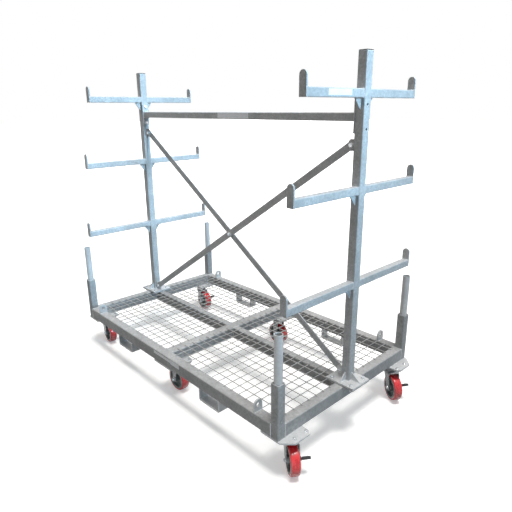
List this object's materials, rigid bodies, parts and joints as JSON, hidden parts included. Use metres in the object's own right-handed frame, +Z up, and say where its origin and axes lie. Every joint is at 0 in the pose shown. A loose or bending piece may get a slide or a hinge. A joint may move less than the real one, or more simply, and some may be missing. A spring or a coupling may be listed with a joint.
{
  "type": "pipe trolley",
  "caption": "Wheeled steel trolley with a wire deck, end uprights that carry cantilever arms on both sides, a crossed brace, corner sockets with sliding pipe stakes and braked castors.",
  "frame": {"origin": "on the floor under the middle of the deck frame, midway between the two uprights", "axes": "+X runs along the deck to the end on the right in the picture, the nearer end; +Y runs across the deck to the rear side; +Z is up"},
  "size_m": [2.1605, 1.155, 1.985],
  "materials": {
    "galvanised_steel": "hot-dip galvanised, dull grey with a soft spangle",
    "bright_zinc": "bright zinc plating",
    "black_plastic": "moulded, matt",
    "black_lever": "black coated",
    "cast_core": "as cast, painted grey",
    "red_tyre": "cast polyurethane, satin"
  },
  "bodies": {
    "frame": {"front_side_rail": "galvanised_steel", "rear_side_rail": "galvanised_steel", "left_end_rail": "galvanised_steel", "right_end_rail": "galvanised_steel", "mid_cross_member": "galvanised_steel", "spine_beams": "galvanised_steel", "front_left_mesh": "bright_zinc", "front_right_mesh": "bright_zinc", "rear_left_mesh": "bright_zinc", "rear_right_mesh": "bright_zinc", "corner_sockets": "galvanised_steel", "tie_down_lugs": "galvanised_steel", "fork_loops": "galvanised_steel", "castor_mounting_plates": "galvanised_steel", "castor_bolts": "bright_zinc", "left_upright": "galvanised_steel", "right_upright": "galvanised_steel", "upright_feet": "galvanised_steel", "upright_caps": "black_plastic", "left_low_arms": "galvanised_steel", "left_mid_arms": "galvanised_steel", "left_top_arms": "galvanised_steel", "right_low_arms": "galvanised_steel", "right_mid_arms": "galvanised_steel", "right_top_arms": "galvanised_steel", "top_tie_bar": "galvanised_steel", "rising_brace": "galvanised_steel", "falling_brace": "galvanised_steel", "frame_bolts": "bright_zinc", "swivel_heads": "bright_zinc", "fixed_forks": "bright_zinc"},
    "front_left_fork": {"front_left_fork": "bright_zinc", "front_left_axle": "bright_zinc"},
    "front_left_wheel": {"front_left_wheel_core": "cast_core", "front_left_tyre": "red_tyre"},
    "front_left_brake_lever": {"front_left_brake_lever": "black_lever"},
    "front_right_fork": {"front_right_fork": "bright_zinc", "front_right_axle": "bright_zinc"},
    "front_right_wheel": {"front_right_wheel_core": "cast_core", "front_right_tyre": "red_tyre"},
    "front_right_brake_lever": {"front_right_brake_lever": "black_lever"},
    "rear_left_fork": {"rear_left_fork": "bright_zinc", "rear_left_axle": "bright_zinc"},
    "rear_left_wheel": {"rear_left_wheel_core": "cast_core", "rear_left_tyre": "red_tyre"},
    "rear_left_brake_lever": {"rear_left_brake_lever": "black_lever"},
    "rear_right_fork": {"rear_right_fork": "bright_zinc", "rear_right_axle": "bright_zinc"},
    "rear_right_wheel": {"rear_right_wheel_core": "cast_core", "rear_right_tyre": "red_tyre"},
    "rear_right_brake_lever": {"rear_right_brake_lever": "black_lever"},
    "front_mid_wheel": {"front_mid_wheel_core": "cast_core", "front_mid_tyre": "red_tyre"},
    "rear_mid_wheel": {"rear_mid_wheel_core": "cast_core", "rear_mid_tyre": "red_tyre"},
    "front_left_stake": {"front_left_stake": "galvanised_steel"},
    "front_right_stake": {"front_right_stake": "galvanised_steel"},
    "rear_left_stake": {"rear_left_stake": "galvanised_steel"},
    "rear_right_stake": {"rear_right_stake": "galvanised_steel"}
  },
  "joints": [
    {"name": "front_left_swivel", "type": "hinge", "parent": "frame", "child": "front_left_fork", "pos_m": [-0.975, -0.461, 0.19], "axis": [0, 0, 1], "continuous": true},
    {"name": "front_left_wheel_spin", "type": "hinge", "parent": "front_left_fork", "child": "front_left_wheel", "pos_m": [-0.92537, -0.46709, 0.08], "axis": [0.1219, 0.9925, 0], "continuous": true},
    {"name": "front_left_brake_press", "type": "hinge", "parent": "front_left_fork", "child": "front_left_brake_lever", "pos_m": [-0.92537, -0.46709, 0.08], "axis": [0.1219, 0.9925, 0], "range_deg": [0, 15]},
    {"name": "front_right_swivel", "type": "hinge", "parent": "frame", "child": "front_right_fork", "pos_m": [0.975, -0.461, 0.19], "axis": [0, 0, 1], "continuous": true},
    {"name": "front_right_wheel_spin", "type": "hinge", "parent": "front_right_fork", "child": "front_right_wheel", "pos_m": [1.01645, -0.48896, 0.08], "axis": [0.5592, 0.829, 0], "continuous": true},
    {"name": "front_right_brake_press", "type": "hinge", "parent": "front_right_fork", "child": "front_right_brake_lever", "pos_m": [1.01645, -0.48896, 0.08], "axis": [0.5592, 0.829, 0], "range_deg": [0, 15]},
    {"name": "rear_left_swivel", "type": "hinge", "parent": "frame", "child": "rear_left_fork", "pos_m": [-0.975, 0.461, 0.19], "axis": [0, 0, 1], "continuous": true},
    {"name": "rear_left_wheel_spin", "type": "hinge", "parent": "rear_left_fork", "child": "rear_left_wheel", "pos_m": [-0.92527, 0.45577, 0.08], "axis": [0.1045, 0.9945, 0], "continuous": true},
    {"name": "rear_left_brake_press", "type": "hinge", "parent": "rear_left_fork", "child": "rear_left_brake_lever", "pos_m": [-0.92527, 0.45577, 0.08], "axis": [0.1045, 0.9945, 0], "range_deg": [0, 15]},
    {"name": "rear_right_swivel", "type": "hinge", "parent": "frame", "child": "rear_right_fork", "pos_m": [0.975, 0.461, 0.19], "axis": [0, 0, 1], "continuous": true},
    {"name": "rear_right_wheel_spin", "type": "hinge", "parent": "rear_right_fork", "child": "rear_right_wheel", "pos_m": [1.01693, 0.43377, 0.08], "axis": [0.5446, 0.8387, 0], "continuous": true},
    {"name": "rear_right_brake_press", "type": "hinge", "parent": "rear_right_fork", "child": "rear_right_brake_lever", "pos_m": [1.01693, 0.43377, 0.08], "axis": [0.5446, 0.8387, 0], "range_deg": [0, 15]},
    {"name": "front_mid_wheel_spin", "type": "hinge", "parent": "frame", "child": "front_mid_wheel", "pos_m": [0, -0.461, 0.08], "axis": [0, 1, 0], "continuous": true},
    {"name": "rear_mid_wheel_spin", "type": "hinge", "parent": "frame", "child": "rear_mid_wheel", "pos_m": [0, 0.461, 0.08], "axis": [0, 1, 0], "continuous": true},
    {"name": "front_left_stake_lift", "type": "slide", "parent": "frame", "child": "front_left_stake", "axis": [0, 0, 1], "range_m": [0, 0.28]},
    {"name": "front_right_stake_lift", "type": "slide", "parent": "frame", "child": "front_right_stake", "axis": [0, 0, 1], "range_m": [0, 0.28]},
    {"name": "rear_left_stake_lift", "type": "slide", "parent": "frame", "child": "rear_left_stake", "axis": [0, 0, 1], "range_m": [0, 0.28]},
    {"name": "rear_right_stake_lift", "type": "slide", "parent": "frame", "child": "rear_right_stake", "axis": [0, 0, 1], "range_m": [0, 0.28]}
  ]
}
